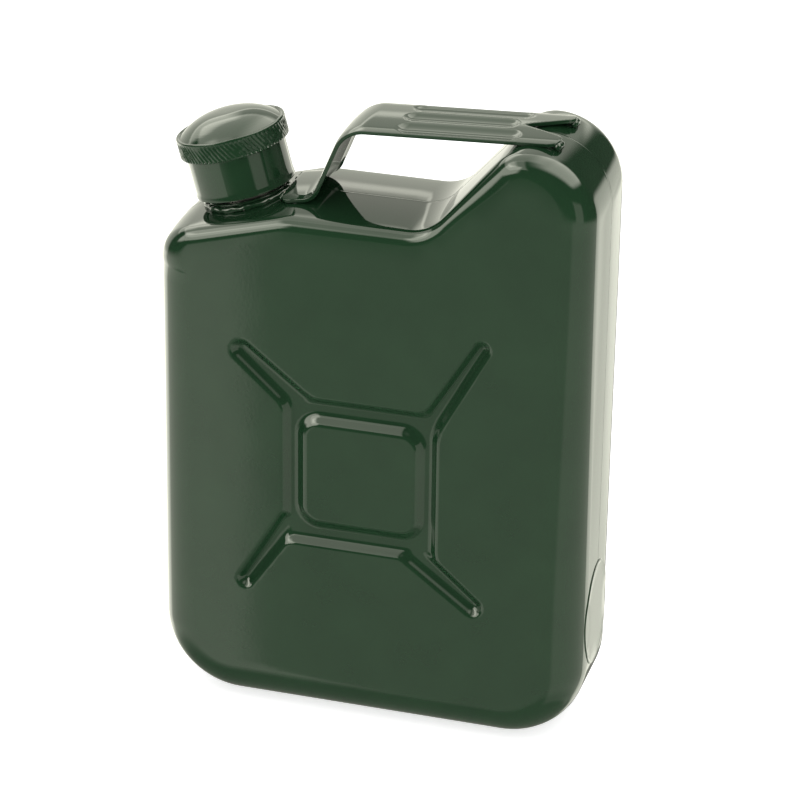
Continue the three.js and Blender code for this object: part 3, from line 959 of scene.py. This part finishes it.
# What the enamel reflects: bands of the studio by compass angle (0 is -Y, 90 is +X) and height,
# in degrees: (angle, half width, height, half height, softness across, softness upwards,
# brightness). A negative brightness is a dark card in front of a bright one.
BANDS = [
    (0, 152, -33, 13, 3, 6, 0.36),
    (0, 190, -56, 36, 3, 3, 0.2),
    (-85, 65.95, -27, 12, 0.3, 5, 0.75),
    (-132, 22, -27, 9, 4, 3, 1.2),
    (86, 52, -38, 18, 6, 3, 0.38),
    (157, 18, -26, 22, 1.5, 3, 1.6),
    (166, 2.2, -26, 22, 1.2, 3, -0.4),
    (60, 14, -8, 12, 3, 3, 0.9),
    (-50, 27, 24, 17, 5, 4, 4.6),
    (-148, 44, 10, 30, 5, 4, 1.0),
    (-148, 44, 0, 20, 5, 2, 0.3),
    (-148, 44, 18.6, 1.6, 5, 1.2, 1.2),
    (-130, 22, 32, 13, 5, 4, 2.0),
]
# Lights overhead, as rectangles on a ceiling one unit up: (centre x, half width, centre y,
# half length, softness, brightness).
CEILING = [
    (-0.95, 0.72, -0.95, 0.85, 0.1, 2.0),
    (-1.0, 0.3, -0.5, 0.4, 0.15, 3.4),
    (-0.7, 0.9, 0.57, 0.72, 0.16, 2.4),
    (0.98, 0.85, 0.42, 1.05, 0.35, 5.0),
]
AMBIENT = 0.08
STUDIO_WHITE = (1.0, 1.0, 0.87, 1)


def world():
    scene_world = bpy.data.worlds.new("studio")
    bpy.context.scene.world = scene_world
    scene_world.use_nodes = True
    tree = scene_world.node_tree
    tree.nodes.clear()

    def add(kind, **values):
        node = tree.nodes.new(kind)
        for key, value in values.items():
            setattr(node, key, value)
        return node

    def calc(operation, a, b=None):
        node = add("ShaderNodeMath", operation=operation)
        for i, source in enumerate((a, b)):
            if source is None:
                continue
            if isinstance(source, (int, float)):
                node.inputs[i].default_value = source
            else:
                tree.links.new(source, node.inputs[i])
        return node.outputs[0]

    def window(value, centre, half, soft):
        node = add("ShaderNodeMapRange", interpolation_type="SMOOTHSTEP")
        node.inputs["From Min"].default_value = half + soft
        node.inputs["From Max"].default_value = half - soft
        away = calc("ABSOLUTE", calc("SUBTRACT", value, centre))
        tree.links.new(away, node.inputs["Value"])
        return node.outputs["Result"]

    direction = add("ShaderNodeTexCoord").outputs["Generated"]
    total = AMBIENT
    for angle, half_width, height, half_height, soft, soft_up, brightness in BANDS:
        turn = add("ShaderNodeVectorRotate", rotation_type="Z_AXIS")
        turn.inputs["Angle"].default_value = -math.radians(angle)
        tree.links.new(direction, turn.inputs["Vector"])
        split = add("ShaderNodeSeparateXYZ")
        tree.links.new(turn.outputs[0], split.inputs[0])
        x, y, z = split.outputs
        compass = calc("DEGREES", calc("ARCTAN2", x, calc("MULTIPLY", y, -1)))
        rise = calc("DEGREES", calc("ARCSINE", z))
        card = calc("MULTIPLY", window(compass, 0, half_width, soft),
                    window(rise, height, half_height, soft_up))
        total = calc("ADD", total, calc("MULTIPLY", card, brightness))
    split = add("ShaderNodeSeparateXYZ")
    tree.links.new(direction, split.inputs[0])
    x, y, z = split.outputs
    height = calc("MAXIMUM", z, 0.02)
    overhead = calc("GREATER_THAN", z, 0)
    across, along = calc("DIVIDE", x, height), calc("DIVIDE", y, height)
    for cx, half_x, cy, half_y, soft, brightness in CEILING:
        card = calc("MULTIPLY", window(across, cx, half_x, soft),
                    window(along, cy, half_y, soft))
        card = calc("MULTIPLY", card, overhead)
        total = calc("ADD", total, calc("MULTIPLY", card, brightness))
    reflected = add("ShaderNodeBackground")
    reflected.inputs["Color"].default_value = STUDIO_WHITE
    tree.links.new(total, reflected.inputs["Strength"])
    plain = add("ShaderNodeBackground")
    plain.inputs["Color"].default_value = (0.9, 0.9, 0.9, 1)
    path = add("ShaderNodeLightPath")
    blend = add("ShaderNodeMixShader")
    tree.links.new(path.outputs["Is Glossy Ray"], blend.inputs[0])
    tree.links.new(plain.outputs[0], blend.inputs[1])
    tree.links.new(reflected.outputs[0], blend.inputs[2])
    out = add("ShaderNodeOutputWorld")
    tree.links.new(blend.outputs[0], out.inputs["Surface"])


def camera():
    data = bpy.data.cameras.new("camera")
    data.lens = 161.47
    data.sensor_width = 36.0
    data.dof.use_dof = False
    data.clip_start, data.clip_end = 0.05, 20.0
    obj = bpy.data.objects.new("camera", data)
    bpy.context.scene.collection.objects.link(obj)
    yaw, pitch, roll = (math.radians(a) for a in (16.44, 25.31, 0.69))
    ahead = Vector((-math.sin(yaw) * math.cos(pitch), math.cos(yaw) * math.cos(pitch),
                    -math.sin(pitch)))
    right = Vector((math.cos(yaw), math.sin(yaw), 0))
    up = right.cross(ahead)
    rolled_right = right * math.cos(roll) + up * math.sin(roll)
    rolled_up = up * math.cos(roll) - right * math.sin(roll)
    turn = Matrix((rolled_right, rolled_up, -ahead)).transposed()
    obj.matrix_world = Matrix.Translation(Vector((184.86, -621.67, 374.69)) * MM) @ turn.to_4x4()
    bpy.context.scene.camera = obj


bpy.context.scene.view_settings.view_transform = "Standard"
floor()
softbox("overhead_box", (0, 0, 1.1), (0, 0, 0), (1.6, 1.6), 0.6)
softbox("front_fill", (0.15, -1.3, 0.45), (0, 0, 0.06), (1.2, 1.0), 1.8)
world()
camera()
